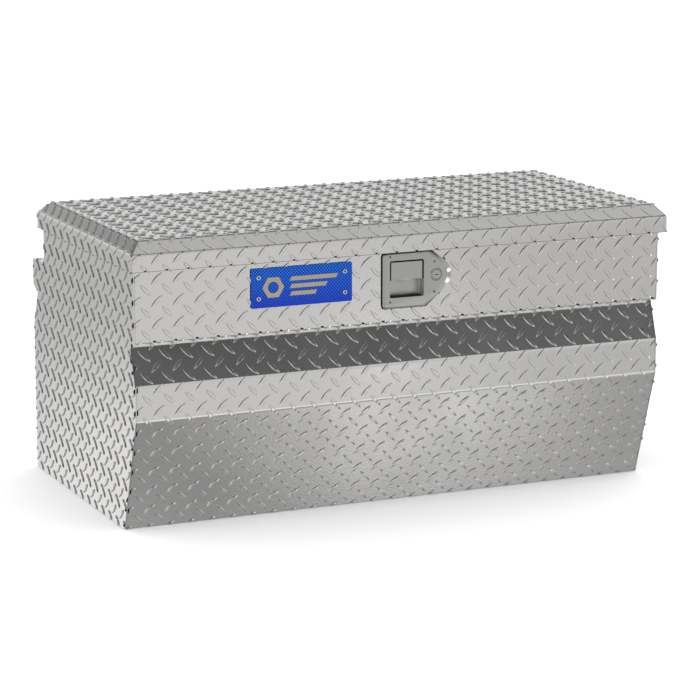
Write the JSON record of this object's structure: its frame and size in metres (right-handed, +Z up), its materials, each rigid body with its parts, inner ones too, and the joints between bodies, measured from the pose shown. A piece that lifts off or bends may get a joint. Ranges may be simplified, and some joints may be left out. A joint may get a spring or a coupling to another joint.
{
  "type": "truck tool box",
  "caption": "Wedge-front diamond plate truck chest with a hinged one-piece lid, gas struts, a locking paddle latch and a badge plate.",
  "frame": {"origin": "under the middle of the box's overall length and depth, on the floor's underside", "axes": "+X along the box to the right seen from the front, -Y towards the front with the latch, +Z up"},
  "size_m": [0.9306, 0.5156, 0.4648],
  "materials": {
    "plate": "bright rolled diamond tread",
    "sheet": "mill finish",
    "stainless": "satin",
    "zinc": "zinc plated",
    "chrome": "satin chrome",
    "rod": "hard chrome",
    "black_steel": "black paint",
    "rubber": "matte",
    "foam": "rigid foam",
    "badge": "printed blue foil"
  },
  "bodies": {
    "tub": {"left_side_panel": "plate", "right_side_panel": "plate", "upper_front_panel": "plate", "lower_front_sheet": "plate", "rear_sheet": "plate", "floor_panel": "sheet", "rim_frame": "sheet", "bulb_seal": "rubber", "latch_housing": "stainless", "latch_gasket": "rubber", "catch_bracket": "zinc", "hook_pin": "zinc", "hook_spring": "zinc", "paddle_pin": "zinc", "paddle_spring": "zinc", "lock_barrel": "chrome", "badge_plate": "badge", "hinge_body_leaf": "stainless", "hinge_pin": "zinc", "strut_body_stud_left": "zinc", "strut_body_stud_right": "zinc", "latch_rivet_1": "zinc", "badge_rivet_1": "zinc", "latch_rivet_2": "zinc", "badge_rivet_2": "zinc", "latch_rivet_3": "zinc", "badge_rivet_3": "zinc", "latch_rivet_4": "zinc", "badge_rivet_4": "zinc"},
    "lid": {"lid_skin": "plate", "lid_liner": "sheet", "lid_foam_core": "foam", "hinge_lid_leaf": "stainless", "striker_plate": "zinc", "striker_bar": "zinc", "strut_lid_bracket_left": "zinc", "strut_lid_bracket_right": "zinc"},
    "paddle": {"latch_paddle": "stainless"},
    "hook": {"latch_hook": "zinc"},
    "lock": {"lock_plug": "chrome", "lock_cam": "zinc"},
    "strut_tube_left": {"strut_cylinder_left": "black_steel", "strut_lower_eye_left": "black_steel"},
    "strut_piston_left": {"strut_rod_left": "rod", "strut_upper_eye_left": "black_steel"},
    "strut_tube_right": {"strut_cylinder_right": "black_steel", "strut_lower_eye_right": "black_steel"},
    "strut_piston_right": {"strut_rod_right": "rod", "strut_upper_eye_right": "black_steel"}
  },
  "joints": [
    {"name": "lid_hinge", "type": "hinge", "parent": "tub", "child": "lid", "pos_m": [0, 0.19969, 0.41656], "axis": [-1, 0, 0], "range_deg": [0, 75]},
    {"name": "paddle_pull", "type": "hinge", "parent": "tub", "child": "paddle", "pos_m": [-0.00051, -0.24101, 0.39383], "axis": [-1, 0, 0], "range_deg": [0, 25], "stiffness_Nm_per_rad": 0.4, "springref_deg": -20.05},
    {"name": "hook_release", "type": "hinge", "parent": "tub", "child": "hook", "pos_m": [-0.00051, -0.2032, 0.37706], "axis": [1, 0, 0], "range_deg": [0, 26]},
    {"name": "lock_turn", "type": "hinge", "parent": "tub", "child": "lock", "pos_m": [0.05156, -0.2472, 0.37757], "axis": [0, 1, 0], "range_deg": [0, 90]},
    {"name": "strut_swing_left", "type": "hinge", "parent": "tub", "child": "strut_tube_left", "pos_m": [-0.41656, 0.15346, 0.36576], "axis": [-1, 0, 0], "range_deg": [0, 76]},
    {"name": "strut_slide_left", "type": "slide", "parent": "strut_tube_left", "child": "strut_piston_left", "axis": [0, -0.9701, 0.2425], "range_m": [0, 0.0865]},
    {"name": "strut_swing_right", "type": "hinge", "parent": "tub", "child": "strut_tube_right", "pos_m": [0.41656, 0.15346, 0.36576], "axis": [-1, 0, 0], "range_deg": [0, 76]},
    {"name": "strut_slide_right", "type": "slide", "parent": "strut_tube_right", "child": "strut_piston_right", "axis": [0, -0.9701, 0.2425], "range_m": [0, 0.0865]}
  ],
  "couplings": [
    {"joint": "hook_release", "follows": "paddle_pull", "ratio": 1},
    {"joint": "strut_swing_left", "follows": "lid_hinge", "ratio": 0.99275},
    {"joint": "strut_slide_left", "follows": "lid_hinge", "m_per_rad": 0.064395},
    {"joint": "strut_swing_right", "follows": "lid_hinge", "ratio": 0.99275},
    {"joint": "strut_slide_right", "follows": "lid_hinge", "m_per_rad": 0.064395}
  ]
}
